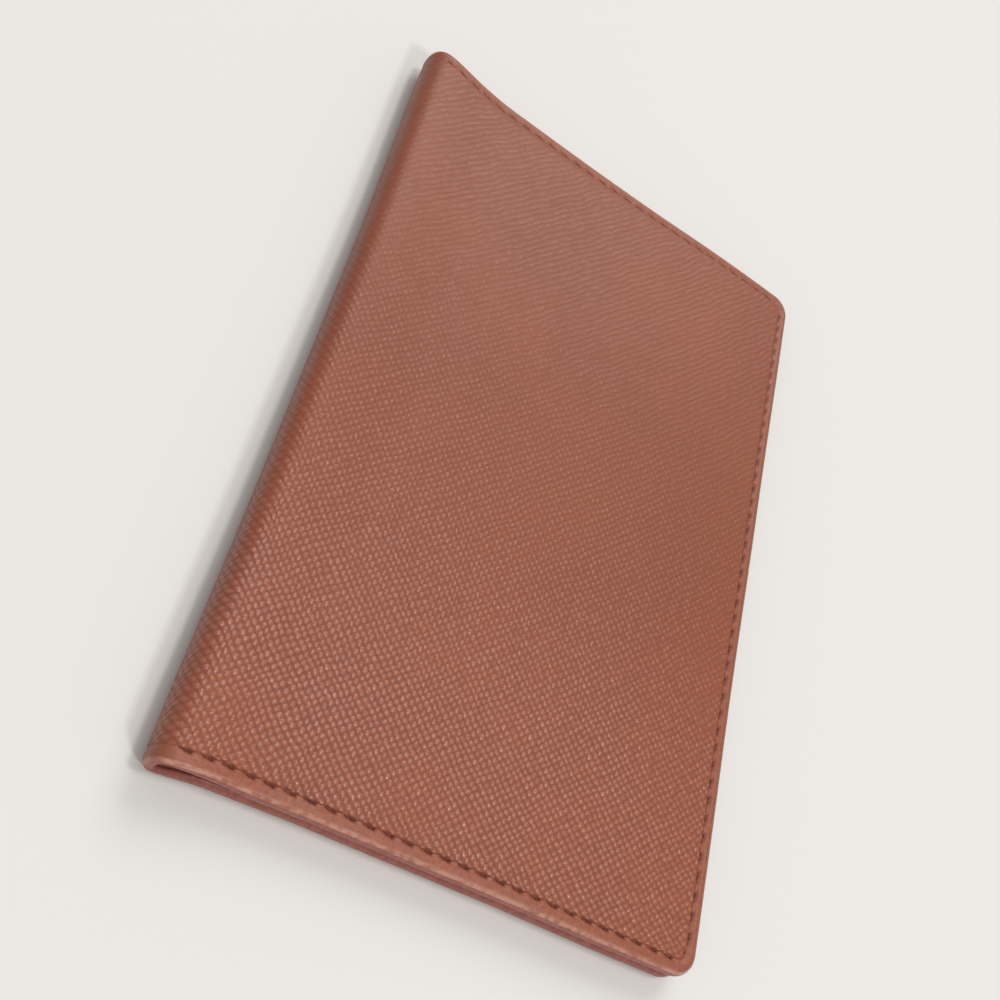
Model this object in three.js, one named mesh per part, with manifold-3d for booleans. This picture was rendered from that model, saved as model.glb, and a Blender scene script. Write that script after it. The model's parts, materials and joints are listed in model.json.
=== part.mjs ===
// A pocket notebook: a soft leather case round a stapled paper refill, lying closed on its back cover.
// Millimetres. +Z is up, +Y runs along the spine, and the fore edge is at +X.
// The origin is the middle of the footprint, on the surface that the case lies on.
import * as THREE from "three";
import { mergeVertices } from "three/addons/utils/BufferGeometryUtils.js";
import Module from "manifold-3d";

const wasm = await Module();
wasm.setup();

// ---- Driving dimensions of the case ----
const CASE_WIDTH = 95; // spine to fore edge
const CASE_LENGTH = 147; // along the spine
const SPINE_RADIUS = 4; // half-round roll of the spine, so the case is 8 thick there
const FORE_EDGE_THICKNESS = 6; // the closed case, back cover to front cover
const CORNER_RADIUS = 4.2; // the two fore-edge corners

const LEATHER = 0.7; // outer skin
const BOARD = 0.35; // stiffener sheet
const HEM = 0.25; // skin pared thin where it is turned in
const HEM_WIDTH = 7;
const LINING = 0.2;
const SLEEVE = 0.25;
const FILM = 0.02; // room between layers that lie on each other
const CARD_ROOM = 0.04; // room on each side of a card
const JOINT_GAP = 0.08; // between the ends of two pieces that a hinge parts

const BOARD_START = 9; // from the spine's outside: nothing stiff lies nearer than this
const LINING_STEP = 8.7; // where the lining comes down off the board
const SLEEVE_START = 32; // mouth of each sleeve, from the spine's outside
const SEAM_INSET = 2.4; // seam to cover edge
const SEAM_START = 5;
const THREAD_WIDTH = 0.5;
const THREAD_DEPTH = 0.18;
const GROOVE_WIDTH = 0.6;
const GROOVE_DEPTH = 0.25;
const SLEEVE_HEM = 3.2; // sewn border of a sleeve
const LINING_INSET = 0.9; // lining edge to cover edge

// ---- Driving dimensions of the refill ----
const REFILL_LENGTH = 140;
const REFILL_END = 91.5; // fore edge of the refill, from the spine's outside
const CARD = 0.2;
const PAPER = 0.1;
const PAPER_PITCH = 0.12; // leaf to leaf
const LEAVES_PER_SIDE = 6;
const FOLD_OFFSET = 5.6; // fold of the refill, from the spine's outside
const LEAF_START = 0.45; // fold to the near edge of a leaf
const CARD_START = 1.2; // fold to the near edge of a card
const CARD_FOLD_RADIUS = 1.05; // inside of the card's fold
const CARD_FOLD_HALF_ANGLE = Math.PI / 6;
const REFILL_CORNER = 6;
const STAPLE_WIRE = 0.4;
const STAPLE_LENGTH = 12;
const STAPLE_LEG = 1.3;
const STAPLE_FROM_END = 35; // middle of each staple to the end of the refill

const ARC_STEPS = 10; // facets in a quarter turn

// ---- Levels, up from the table through the back cover ----
const BOARD_Z = LEATHER + FILM;
const HEM_Z = BOARD_Z + BOARD + FILM;
const LINING_Z = HEM_Z + HEM + FILM;
const CARD_Z = LINING_Z + LINING + CARD_ROOM;
const SLEEVE_Z = CARD_Z + CARD + CARD_ROOM;
const LEAF_Z = SLEEVE_Z + SLEEVE + 1.5 * FILM;
const FOLD_Z = LEAF_Z + LEAVES_PER_SIDE * PAPER_PITCH + FILM / 2;
const LOW_LINING_Z = LEATHER + FILM; // the lining lies on bare leather near the spine

const SPINE_X = -CASE_WIDTH / 2; // outside of the spine
const HALF_LENGTH = CASE_LENGTH / 2;
const COVER_END = CASE_WIDTH - SPINE_RADIUS; // fore edge, from the axis of the spine roll
const TILT = Math.atan((2 * SPINE_RADIUS - FORE_EDGE_THICKNESS) / COVER_END);

// ---- Materials ----
const finish = (color, roughness, metalness = 0) =>
  new THREE.MeshStandardMaterial({ color, roughness, metalness });
const LEATHER_FINISH = finish(0x9a5c45, 0.55);
const LINING_FINISH = finish(0x8a5640, 0.7);
const THREAD_FINISH = finish(0x4a2018, 0.8);
const BOARD_FINISH = finish(0x8d8578, 0.9);
const CARD_FINISH = finish(0x4b352b, 0.75);
const PAPER_FINISH = finish(0xf1ead8, 0.9);
const WIRE_FINISH = finish(0xb9bbbd, 0.3, 1);

// ---- Joining and cutting closed meshes ----
function solidOf(geometry) {
  const bare = geometry.clone();
  bare.deleteAttribute("normal");
  bare.deleteAttribute("uv");
  const merged = mergeVertices(bare, 1e-4);
  return new wasm.Manifold(
    new wasm.Mesh({
      numProp: 3,
      vertProperties: new Float32Array(merged.attributes.position.array),
      triVerts: new Uint32Array(merged.index.array),
    }),
  );
}

function geometryOf(solid) {
  const mesh = solid.getMesh();
  const geometry = new THREE.BufferGeometry();
  geometry.setAttribute("position", new THREE.BufferAttribute(mesh.vertProperties, 3));
  geometry.setIndex(new THREE.BufferAttribute(mesh.triVerts, 1));
  return geometry;
}

function named(name, geometry, material) {
  const mesh = new THREE.Mesh(geometry, material);
  mesh.name = name;
  return mesh;
}

// ---- Outlines ----
// Plans are drawn in X and Y from the axis of the spine roll, and extruded up from z.
function plate(outline, z, height) {
  const geometry = new THREE.ExtrudeGeometry(outline, {
    depth: height,
    bevelEnabled: false,
    curveSegments: ARC_STEPS,
  });
  return geometry.translate(0, 0, z);
}

// Points of a plan with square corners at x = start and round ones at x = end.
function tonguePoints(start, end, halfLength, radius) {
  const points = [new THREE.Vector2(start, -halfLength)];
  for (const side of [-1, 1]) {
    for (let i = 0; i <= ARC_STEPS; i++) {
      const turn = (i / ARC_STEPS) * (Math.PI / 2);
      const along = side < 0 ? Math.sin(turn) : Math.cos(turn);
      const across = side < 0 ? Math.cos(turn) : Math.sin(turn);
      points.push(
        new THREE.Vector2(
          end - radius + radius * along,
          side * (halfLength - radius + radius * across),
        ),
      );
    }
  }
  points.push(new THREE.Vector2(start, halfLength));
  return points;
}

// The cover's plan, brought in by an inset along its three free edges.
function coverPlan(start, inset) {
  return new THREE.Shape(
    tonguePoints(start, COVER_END - inset, HALF_LENGTH - inset, CORNER_RADIUS - inset),
  );
}

// A U-shaped band along the three free edges, between two insets.
function coverBand(start, outerInset, innerInset) {
  const outer = tonguePoints(
    start,
    COVER_END - outerInset,
    HALF_LENGTH - outerInset,
    CORNER_RADIUS - outerInset,
  );
  const inner = tonguePoints(
    start,
    COVER_END - innerInset,
    HALF_LENGTH - innerInset,
    Math.max(CORNER_RADIUS - innerInset, 0.5),
  );
  return new THREE.Shape(outer.concat(inner.reverse()));
}

// A section drawn in X and Z about the axis of the spine roll, drawn out along the spine.
function alongSpine(sectionPoints, halfLength) {
  const section = new THREE.Shape(sectionPoints);
  const geometry = new THREE.ExtrudeGeometry(section, {
    depth: 2 * halfLength,
    bevelEnabled: false,
  });
  geometry.translate(0, 0, -halfLength);
  return geometry.rotateX(Math.PI / 2); // section Y becomes Z
}

// Points on the spine roll. Turn 0 is at the bottom, and a quarter turn is at the outside (-X).
function rollPoint(radius, turn) {
  return new THREE.Vector2(-radius * Math.sin(turn), -radius * Math.cos(turn));
}

function rollArc(radius, from, to) {
  const points = [];
  for (let i = 0; i <= ARC_STEPS; i++) {
    points.push(rollPoint(radius, from + ((to - from) * i) / ARC_STEPS));
  }
  return points;
}

// ---- The covers ----
// A cover is drawn as the back one, with z measured from the axis of the spine roll.
// The front cover is the same cover turned over about that axis.
const BASE = -SPINE_RADIUS;
const ROLL_END = Math.PI / 4; // each cover's skin runs up to here on the roll

// The part of a layer that lies on the roll, between two depths below the outside.
function rollBand(outside, inside) {
  const end = ROLL_END - JOINT_GAP / 2 / SPINE_RADIUS;
  return [
    ...rollArc(SPINE_RADIUS - outside, 0, end),
    ...rollArc(SPINE_RADIUS - inside, end, 0),
  ];
}

function coverLeather() {
  const section = [
    new THREE.Vector2(COVER_END, BASE),
    ...rollBand(0, LEATHER),
    new THREE.Vector2(COVER_END, BASE + LEATHER),
  ];
  const skin = solidOf(alongSpine(section, HALF_LENGTH));
  const rim = solidOf(plate(coverBand(0, 0, LEATHER), BASE, HEM_Z + HEM));
  const hemPlan = coverBand(BOARD_START - SPINE_RADIUS, LEATHER / 2, HEM_WIDTH);
  const hem = solidOf(plate(hemPlan, BASE + HEM_Z, HEM));
  const roundCorners = solidOf(plate(coverPlan(-SPINE_RADIUS, 0), BASE, 2 * SPINE_RADIUS));
  const groove = solidOf(plate(seamBand(GROOVE_WIDTH), BASE - GROOVE_DEPTH, 2 * GROOVE_DEPTH));
  return geometryOf(skin.add(rim).add(hem).intersect(roundCorners).subtract(groove));
}

// The line of the seam as a band of some width.
function seamBand(width) {
  return coverBand(SEAM_START - SPINE_RADIUS, SEAM_INSET - width / 2, SEAM_INSET + width / 2);
}

function coverThread() {
  const lift = GROOVE_DEPTH - THREAD_DEPTH - FILM; // above the table, so it never touches it
  return plate(seamBand(THREAD_WIDTH), BASE + lift, THREAD_DEPTH);
}

function coverBoard() {
  const plan = coverPlan(BOARD_START - SPINE_RADIUS, LEATHER + 0.1);
  return plate(plan, BASE + BOARD_Z, BOARD);
}

// The lining steps down from the hem onto the bare skin before it meets the roll.
function coverLining() {
  const step = LINING_STEP - SPINE_RADIUS;
  const section = [
    new THREE.Vector2(COVER_END, BASE + LINING_Z),
    new THREE.Vector2(step, BASE + LINING_Z),
    new THREE.Vector2(step, BASE + LOW_LINING_Z),
    ...rollBand(LOW_LINING_Z, LOW_LINING_Z + LINING),
    new THREE.Vector2(step - LINING, BASE + LOW_LINING_Z + LINING),
    new THREE.Vector2(step - LINING, BASE + LINING_Z + LINING),
    new THREE.Vector2(COVER_END, BASE + LINING_Z + LINING),
  ];
  const skin = solidOf(alongSpine(section, HALF_LENGTH - LINING_INSET));
  const plan = solidOf(
    plate(coverPlan(-SPINE_RADIUS, LINING_INSET), BASE, 2 * SPINE_RADIUS),
  );
  return geometryOf(skin.intersect(plan));
}

// A sleeve is a sheet over the card, stepped down to the lining along its sewn border.
function coverSleeve() {
  const start = SLEEVE_START - SPINE_RADIUS;
  const borderZ = LINING_Z + LINING + FILM;
  const sheet = solidOf(plate(coverPlan(start, LINING_INSET), BASE + SLEEVE_Z, SLEEVE));
  const border = solidOf(
    plate(coverBand(start, LINING_INSET, SLEEVE_HEM), BASE + borderZ, SLEEVE_Z + SLEEVE - borderZ),
  );
  return geometryOf(sheet.add(border));
}

function cover(side) {
  const group = new THREE.Group();
  group.add(
    named(side + "_leather", coverLeather(), LEATHER_FINISH),
    named(side + "_seam_thread", coverThread(), THREAD_FINISH),
    named(side + "_board", coverBoard(), BOARD_FINISH),
    named(side + "_lining", coverLining(), LINING_FINISH),
    named(side + "_pocket", coverSleeve(), LINING_FINISH),
  );
  return group;
}

// ---- The spine: the middle quarter of the roll, skin and lining ----
function spineStrip(outside, inside, halfLength) {
  const gapTurn = JOINT_GAP / 2 / SPINE_RADIUS;
  const from = ROLL_END + gapTurn;
  const to = Math.PI - ROLL_END - gapTurn;
  return alongSpine(
    [
      ...rollArc(SPINE_RADIUS - outside, from, to),
      ...rollArc(SPINE_RADIUS - inside, to, from),
    ],
    halfLength,
  );
}

function spine() {
  const group = new THREE.Group();
  group.add(
    named("spine_leather", spineStrip(0, LEATHER, HALF_LENGTH), LEATHER_FINISH),
    named(
      "spine_lining",
      spineStrip(LOW_LINING_Z, LOW_LINING_Z + LINING, HALF_LENGTH - LINING_INSET),
      LINING_FINISH,
    ),
  );
  return group;
}

// ---- The refill, drawn about its fold: x from the fold, z from the fold ----
function refillSheet(start, z, thickness) {
  const plan = new THREE.Shape(
    tonguePoints(start, REFILL_END - FOLD_OFFSET, REFILL_LENGTH / 2, REFILL_CORNER),
  );
  return plate(plan, z, thickness);
}

function cards() {
  const overLeaves = LEAVES_PER_SIDE * PAPER_PITCH + CARD_ROOM;
  return [
    named("back_card", refillSheet(CARD_START, CARD_Z - FOLD_Z, CARD), CARD_FINISH),
    named("front_card", refillSheet(CARD_START, overLeaves, CARD), CARD_FINISH),
  ];
}

// Leaves 1 to 6 lie above the fold and turn with the front card. Leaves 7 to 12 stay below it.
function leaves() {
  const sheets = [];
  for (let i = 0; i < 2 * LEAVES_PER_SIDE; i++) {
    const aboveFold = LEAVES_PER_SIDE - 1 - i;
    const z =
      aboveFold >= 0
        ? FILM + aboveFold * PAPER_PITCH
        : LEAF_Z - FOLD_Z + (2 * LEAVES_PER_SIDE - 1 - i) * PAPER_PITCH;
    const name = "leaf_" + String(i + 1).padStart(2, "0");
    sheets.push(named(name, refillSheet(LEAF_START, z, PAPER), PAPER_FINISH));
  }
  return sheets;
}

const towardSpine = (radius, turn) =>
  new THREE.Vector2(-radius * Math.cos(turn), radius * Math.sin(turn));

function foldArc(radius, from, to) {
  const points = [];
  for (let i = 0; i <= ARC_STEPS; i++) {
    points.push(towardSpine(radius, from + ((to - from) * i) / ARC_STEPS));
  }
  return points;
}

// One staple: a crown outside the fold and two legs through it.
function staple(name, y) {
  const reach = CARD_FOLD_RADIUS + CARD + CARD_ROOM;
  const crown = new THREE.BoxGeometry(STAPLE_WIRE, STAPLE_LENGTH, STAPLE_WIRE);
  crown.translate(-reach - STAPLE_WIRE / 2, y, 0);
  let solid = solidOf(crown);
  for (const end of [-1, 1]) {
    const leg = new THREE.BoxGeometry(STAPLE_LEG, STAPLE_WIRE, STAPLE_WIRE);
    const legX = STAPLE_LEG / 2 - reach - STAPLE_WIRE;
    const legY = y + (end * (STAPLE_LENGTH - STAPLE_WIRE)) / 2;
    leg.translate(legX, legY, 0);
    solid = solid.add(solidOf(leg));
  }
  return named(name, geometryOf(solid), WIRE_FINISH);
}

const STAPLE_Y = REFILL_LENGTH / 2 - STAPLE_FROM_END;

// The card's fold, holed where the staples go through.
function cardFold() {
  const outerRadius = CARD_FOLD_RADIUS + CARD;
  let strip = solidOf(
    alongSpine(
      [
        ...foldArc(outerRadius, -CARD_FOLD_HALF_ANGLE, CARD_FOLD_HALF_ANGLE),
        ...foldArc(CARD_FOLD_RADIUS, CARD_FOLD_HALF_ANGLE, -CARD_FOLD_HALF_ANGLE),
      ],
      REFILL_LENGTH / 2,
    ),
  );
  const hole = STAPLE_WIRE + 2 * CARD_ROOM;
  for (const middle of [-STAPLE_Y, STAPLE_Y]) {
    for (const end of [-1, 1]) {
      const drill = new THREE.BoxGeometry(1, hole, hole);
      const y = middle + (end * (STAPLE_LENGTH - STAPLE_WIRE)) / 2;
      drill.translate(-outerRadius, y, 0);
      strip = strip.subtract(solidOf(drill));
    }
  }
  return named("card_fold", geometryOf(strip), CARD_FINISH);
}

function refill() {
  const group = new THREE.Group();
  group.add(
    ...cards(),
    cardFold(),
    ...leaves(),
    staple("staple_top", STAPLE_Y),
    staple("staple_bottom", -STAPLE_Y),
  );
  return group;
}

// ---- Assembly ----
const notebook = new THREE.Group();
const roll = new THREE.Group(); // the axis of the spine roll
roll.position.set(SPINE_X + SPINE_RADIUS, 0, SPINE_RADIUS);
notebook.add(roll);

roll.add(cover("back"));
roll.add(spine());

const tilted = new THREE.Group(); // the front cover slopes down to the fore edge
tilted.rotation.y = TILT;
const turnedOver = cover("front");
turnedOver.rotation.x = Math.PI;
tilted.add(turnedOver);
roll.add(tilted);

const booklet = refill();
booklet.position.set(SPINE_X + FOLD_OFFSET, 0, FOLD_Z);
notebook.add(booklet);

export default notebook;
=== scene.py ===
import json
import math

import bpy
import numpy as np
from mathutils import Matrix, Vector


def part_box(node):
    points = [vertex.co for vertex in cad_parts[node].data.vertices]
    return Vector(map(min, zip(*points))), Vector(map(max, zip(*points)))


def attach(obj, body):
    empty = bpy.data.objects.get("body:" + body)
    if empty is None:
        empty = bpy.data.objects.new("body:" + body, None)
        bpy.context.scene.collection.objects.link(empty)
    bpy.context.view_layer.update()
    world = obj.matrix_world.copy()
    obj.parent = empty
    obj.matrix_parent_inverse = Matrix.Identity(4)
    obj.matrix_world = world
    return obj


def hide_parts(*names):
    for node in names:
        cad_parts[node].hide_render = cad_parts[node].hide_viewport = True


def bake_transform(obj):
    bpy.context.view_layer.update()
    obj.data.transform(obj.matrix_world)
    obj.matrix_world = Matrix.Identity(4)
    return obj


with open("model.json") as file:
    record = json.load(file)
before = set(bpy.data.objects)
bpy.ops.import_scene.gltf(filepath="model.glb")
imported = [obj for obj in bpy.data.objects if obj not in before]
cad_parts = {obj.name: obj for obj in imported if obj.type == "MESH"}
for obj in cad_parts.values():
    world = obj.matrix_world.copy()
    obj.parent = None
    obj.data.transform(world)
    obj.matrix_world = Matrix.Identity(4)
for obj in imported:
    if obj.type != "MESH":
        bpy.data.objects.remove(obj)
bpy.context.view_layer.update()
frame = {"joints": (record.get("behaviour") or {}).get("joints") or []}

MM = 0.001
HALF_PI = math.pi / 2

# ---- The frame's own dimensions, in millimetres ----
joints = {joint["name"]: joint for joint in frame["joints"]}
case_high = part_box("back_leather")[1] / MM
SPINE_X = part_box("spine_leather")[0].x / MM
HALF_LENGTH = case_high.y
ROLL = joints["spine_hinge"]["pos_m"][2] / MM / (1 - math.pi / 4)  # radius of the spine roll
TILT = math.radians(joints["front_cover_hinge"]["range_deg"][1] - 90)  # fall of the front cover
COVER_END = case_high.x - SPINE_X - ROLL  # fore edge, from the axis of the roll
CORNER = 4.2  # radius of the covers' corners, as in the CAD
FOLD_X, _, FOLD_Z = (value / MM for value in joints["front_card_turn"]["pos_m"])
REFILL_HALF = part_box("leaf_01")[1].y / MM
REFILL_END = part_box("leaf_01")[1].x / MM
REFILL_CORNER = 6.0  # and of the refill's

SEAM_INSET = 2.4  # seam to the edge of the cover
STITCH_PITCH = 3.3
STITCH_LEAN = 0.34  # how far each stitch leans across the seam
SEAM_U = 1.7  # first needle hole, from the spine's outside
SLEEVE_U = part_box("back_pocket")[0].x / MM - SPINE_X  # mouth of the sleeves
BOARD_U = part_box("back_board")[0].x / MM - SPINE_X


def smooth(value, low, high):
    """0 below low, 1 above high, and a smooth step between."""
    t = np.clip((np.asarray(value, float) - low) / (high - low), 0, 1)
    return t * t * (3 - 2 * t)


# ---- Meshes ----
CREASE = math.radians(40)  # edges sharper than this are not shaded smooth


def new_mesh(name, points, faces, material, flat=None, depth=None):
    """An object from points in millimetres. Its material reads the attributes flat and depth."""
    mesh = bpy.data.meshes.new(name)
    mesh.from_pydata((np.asarray(points, float) * MM).tolist(), [], faces)
    if flat is not None:
        layer = mesh.attributes.new("flat", "FLOAT_VECTOR", "POINT")
        layer.data.foreach_set("vector", np.asarray(flat, np.float32).ravel())
    if depth is not None:
        layer = mesh.attributes.new("depth", "FLOAT", "POINT")
        layer.data.foreach_set("value", np.asarray(depth, np.float32).ravel())
    mesh.validate()
    mesh.shade_smooth()
    mesh.set_sharp_from_angle(angle=CREASE)
    mesh.materials.append(material)
    piece = bpy.data.objects.new(name, mesh)
    bpy.context.scene.collection.objects.link(piece)
    return piece


class Cover:
    """One half of the case, from the middle of the spine round the roll to the fore edge.
    A place on it is s along the skin from the middle of the spine, y, and n out of the skin."""

    def __init__(self, name):
        self.name = name
        self.up = 1 if name == "front" else -1
        self.roll_turn = HALF_PI + (TILT if name == "front" else 0)
        self.roll_length = ROLL * self.roll_turn
        self.length = self.roll_length + COVER_END

    def across(self, s):
        """Distance from the spine's outside, as on the flat of the cover."""
        return np.asarray(s, float) - self.roll_length + ROLL

    def place(self, s, y, n):
        """x, y and z of places on the cover."""
        s, y, n = np.broadcast_arrays(*(np.asarray(v, float) for v in (s, y, n)))
        turn = np.minimum(s, self.roll_length) / ROLL
        beyond = np.maximum(s - self.roll_length, 0)
        normal_x, normal_z = -np.cos(turn), self.up * np.sin(turn)
        along_x, along_z = np.sin(turn), self.up * np.cos(turn)
        x = SPINE_X + ROLL + (ROLL + n) * normal_x + beyond * along_x
        z = ROLL + (ROLL + n) * normal_z + beyond * along_z
        return np.stack([x, y, z], -1)


BACK = Cover("back")
FRONT = Cover("front")


def bend(piece, cover):
    """Bakes the piece's transform into its mesh, the same for either cover."""
    if cover is BACK:
        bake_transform(piece)
    else:
        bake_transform(piece)


# ---- The three free edges ----
RIM_STEP = STITCH_PITCH / 10
RIM_CORNER_STEPS = 24


class Rim:
    """Samples along a cover's outline: out along the tail, up the fore edge, back along the head.
    in_s and in_y point inward from each sample. near_steps are places close to the start."""

    def __init__(self, cover, start, near_steps=()):
        end = cover.length
        straight = end - CORNER
        near = start + np.array(near_steps, float)
        first = near[-1] if len(near) else start
        count = int(round((straight - first) / RIM_STEP))
        tail = np.unique(np.concatenate([[start], near, np.linspace(first, straight, count + 1)]))
        side_y = HALF_LENGTH - CORNER
        arc = np.linspace(0, HALF_PI, RIM_CORNER_STEPS + 1)[1:-1]
        side = np.linspace(-side_y, side_y, int(round(2 * side_y / RIM_STEP)) + 1)
        self.cover = cover
        self.tail_s = tail
        self.side_y = side
        low_arc = [straight + CORNER * np.sin(arc), -side_y - CORNER * np.cos(arc)]
        self.s = np.concatenate(
            [tail, low_arc[0], np.full(len(side), end), low_arc[0][::-1], tail[::-1]]
        )
        self.y = np.concatenate(
            [
                np.full(len(tail), -HALF_LENGTH),
                low_arc[1],
                side,
                -low_arc[1][::-1],
                np.full(len(tail), HALF_LENGTH),
            ]
        )
        self.in_s = np.concatenate(
            [0 * tail, -np.sin(arc), -np.ones(len(side)), -np.sin(arc)[::-1], 0 * tail]
        )
        self.in_y = np.concatenate(
            [0 * tail + 1, np.cos(arc), 0 * side, -np.cos(arc)[::-1], 0 * tail - 1]
        )
        self.count = len(self.s)
        self.first_side = len(tail) + len(arc)


GRID_STRIDE = 4  # rim samples from one grid line to the next
GRID_INSET = CORNER + 0.3  # outermost grid lines, clear of the rounded corners
GRID_LEAST = 0.3  # narrowest cell beside them


def sheet_grid(rim, fine_until):
    """Grid lines of the middle of a sheet. All but the outermost start at a sample of the rim,
    and up to fine_until each sample has one."""
    last = rim.cover.length - GRID_INSET
    tail = [i for i, s in enumerate(rim.tail_s) if s < fine_until]
    tail += list(range(len(tail), len(rim.tail_s), GRID_STRIDE))
    tail = [i for i in tail if rim.tail_s[i] < last - GRID_LEAST]
    side = list(range(GRID_STRIDE, len(rim.side_y) - GRID_STRIDE, GRID_STRIDE))
    lines_s = np.append(rim.tail_s[tail], last)
    edge_y = HALF_LENGTH - GRID_INSET
    lines_y = np.concatenate([[-edge_y], rim.side_y[side], [edge_y]])
    return tail, side, lines_s, lines_y


def sheet_solid(name, cover, start, profile, material, shape, near_steps=(), fine_until=0.0):
    """A closed sheet with three free edges. profile(s) gives insets and depths below the outside,
    from the middle of the outer face round the edge to the middle of the inner face.
    shape(cover, s, y, n, inset) moves the points to where they lie on the worked case."""
    rim = Rim(cover, start, near_steps)
    insets, depths = profile(rim.s)  # (rings,), (samples, rings)
    rings = len(insets)
    ring_s = rim.s[None] + insets[:, None] * rim.in_s[None]
    ring_y = rim.y[None] + insets[:, None] * rim.in_y[None]
    ring_n = -depths.T
    ring_d = np.broadcast_to(insets[:, None], ring_s.shape)
    tail, side, lines_s, lines_y = sheet_grid(rim, fine_until)
    grid_s, grid_y = np.meshgrid(lines_s, lines_y, indexing="ij")
    grid_depths = profile(grid_s.ravel())[1]
    grid_d = np.minimum(cover.length - grid_s, HALF_LENGTH - np.abs(grid_y)).ravel()
    flat_s = np.concatenate([ring_s.ravel(), grid_s.ravel(), grid_s.ravel()])
    flat_y = np.concatenate([ring_y.ravel(), grid_y.ravel(), grid_y.ravel()])
    flat_n = np.concatenate([ring_n.ravel(), -grid_depths[:, 0], -grid_depths[:, -1]])
    flat_d = np.concatenate([ring_d.ravel(), grid_d, grid_d])
    points = cover.place(*shape(cover, flat_s, flat_y, flat_n, flat_d))
    faces = sheet_faces(rim, rings, tail, side, len(lines_s), len(lines_y))
    if cover is BACK:
        faces = [face[::-1] for face in faces]
    flat = np.stack([flat_s, flat_y, flat_d], -1)
    return new_mesh(name, points, faces, material, flat=flat, depth=-flat_n)


def sheet_faces(rim, rings, tail, side, count_s, count_y):
    """Faces of a sheet: its edge, ring by ring, a patch over each face, and its starting end."""

    def ring(k, m):
        return k * rim.count + m

    def top(i, j):
        return rings * rim.count + i * count_y + j

    def under(i, j):
        return top(i, j) + count_s * count_y

    faces = []
    for k in range(rings - 1):
        for m in range(rim.count - 1):
            faces.append((ring(k, m), ring(k + 1, m), ring(k + 1, m + 1), ring(k, m + 1)))
    for grid, last_ring, turned in ((top, 0, False), (under, rings - 1, True)):
        patch = []
        for i in range(count_s - 1):
            for j in range(count_y - 1):
                patch.append((grid(i, j), grid(i + 1, j), grid(i + 1, j + 1), grid(i, j + 1)))
        tail_stops = tail + [len(rim.tail_s) - 1]
        for i in range(count_s - 1):
            low = range(tail_stops[i], tail_stops[i + 1] + 1)
            patch.append([ring(last_ring, m) for m in low] + [grid(i + 1, 0), grid(i, 0)])
            high = [ring(last_ring, rim.count - 1 - m) for m in low]
            patch.append([grid(i, count_y - 1), grid(i + 1, count_y - 1)] + high[::-1])
        corner = range(len(rim.tail_s) - 1, rim.first_side + 1)
        patch.append([ring(last_ring, m) for m in corner] + [grid(count_s - 1, 0)])
        mirrored = [ring(last_ring, rim.count - 1 - m) for m in corner]
        patch.append([grid(count_s - 1, count_y - 1)] + mirrored[::-1])
        side_stops = [0] + side + [len(rim.side_y) - 1]
        for j in range(count_y - 1):
            run = range(side_stops[j], side_stops[j + 1] + 1)
            edge = [ring(last_ring, rim.first_side + m) for m in run]
            patch.append(edge + [grid(count_s - 1, j + 1), grid(count_s - 1, j)])
        faces += [tuple(face[::-1]) for face in patch] if turned else [tuple(f) for f in patch]
    for j in range(count_y - 1):
        faces.append((top(0, j), top(0, j + 1), under(0, j + 1), under(0, j)))
    tail_end = [ring(k, 0) for k in range(rings)]
    head_end = [ring(k, rim.count - 1) for k in range(rings)]
    faces.append(tuple([top(0, 0), under(0, 0)] + tail_end[::-1]))
    faces.append(tuple([under(0, count_y - 1), top(0, count_y - 1)] + head_end))
    return faces


# ---- The shape of the worked case ----
SPINE_EDGE = 1.9  # thickness of the edge at the spine, where it is bare leather and lining
FULL_EDGE = 0.9  # what the turned edge and the stiffener add to it beyond
LOW_LINING = 0.94  # depth of the lining's inner face at the spine
LINING_RISE = 0.62  # what the stiffener lifts it by
DROOP = 1.3  # most that the front skin has settled
SEAM_DROOP = 0.36  # share of it that is only along the seam and the edge


def edge_thickness(cover, s):
    """Thickness of a cover at its turned edge."""
    return SPINE_EDGE + FULL_EDGE * smooth(cover.across(s), 1, 9)


def lining_level(cover, s):
    """Depth of the lining's inner face in the middle of a cover."""
    return LOW_LINING + LINING_RISE * smooth(cover.across(s), 6.5, 10)


def droop(cover, s, inset):
    """How far the front skin has settled below the plane of its cover, most along the seam."""
    if cover is BACK:
        return 0 * np.asarray(s, float)
    u = cover.across(s)
    share = 1 - SEAM_DROOP * smooth(inset, 2.6, 5)
    return DROOP * share * smooth(u, 2, 19) * (1 - smooth(u, 30, 88))


def seam_places(cover):
    """Needle holes along the seam: s, y and the direction of sewing, evenly spaced."""
    radius = CORNER - SEAM_INSET
    start = cover.roll_length - ROLL + SEAM_U
    straight = cover.length - CORNER - start
    side = 2 * (HALF_LENGTH - CORNER)
    arc = radius * HALF_PI
    total = 2 * straight + 2 * arc + side
    count = int(round(total / STITCH_PITCH))
    places = []
    for k in range(count + 1):
        places.append(seam_place(cover, k * total / count, start, straight, arc, side, radius))
    return places


def seam_place(cover, run, start, straight, arc, side, radius):
    """One place on the seam line: (s, y, direction along s, direction along y)."""
    edge_y = HALF_LENGTH - SEAM_INSET
    centre_s = cover.length - CORNER
    centre_y = HALF_LENGTH - CORNER
    if run <= straight:
        return start + run, -edge_y, 1.0, 0.0
    run -= straight
    if run <= arc:
        turn = run / radius
        s = centre_s + radius * math.sin(turn)
        return s, -centre_y - radius * math.cos(turn), math.cos(turn), math.sin(turn)
    run -= arc
    if run <= side:
        return cover.length - SEAM_INSET, -centre_y + run, 0.0, 1.0
    run -= side
    if run <= arc:
        turn = run / radius
        s = centre_s + radius * math.cos(turn)
        return s, centre_y + radius * math.sin(turn), -math.sin(turn), math.cos(turn)
    run -= arc
    return centre_s - run, edge_y, -1.0, 0.0


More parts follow.
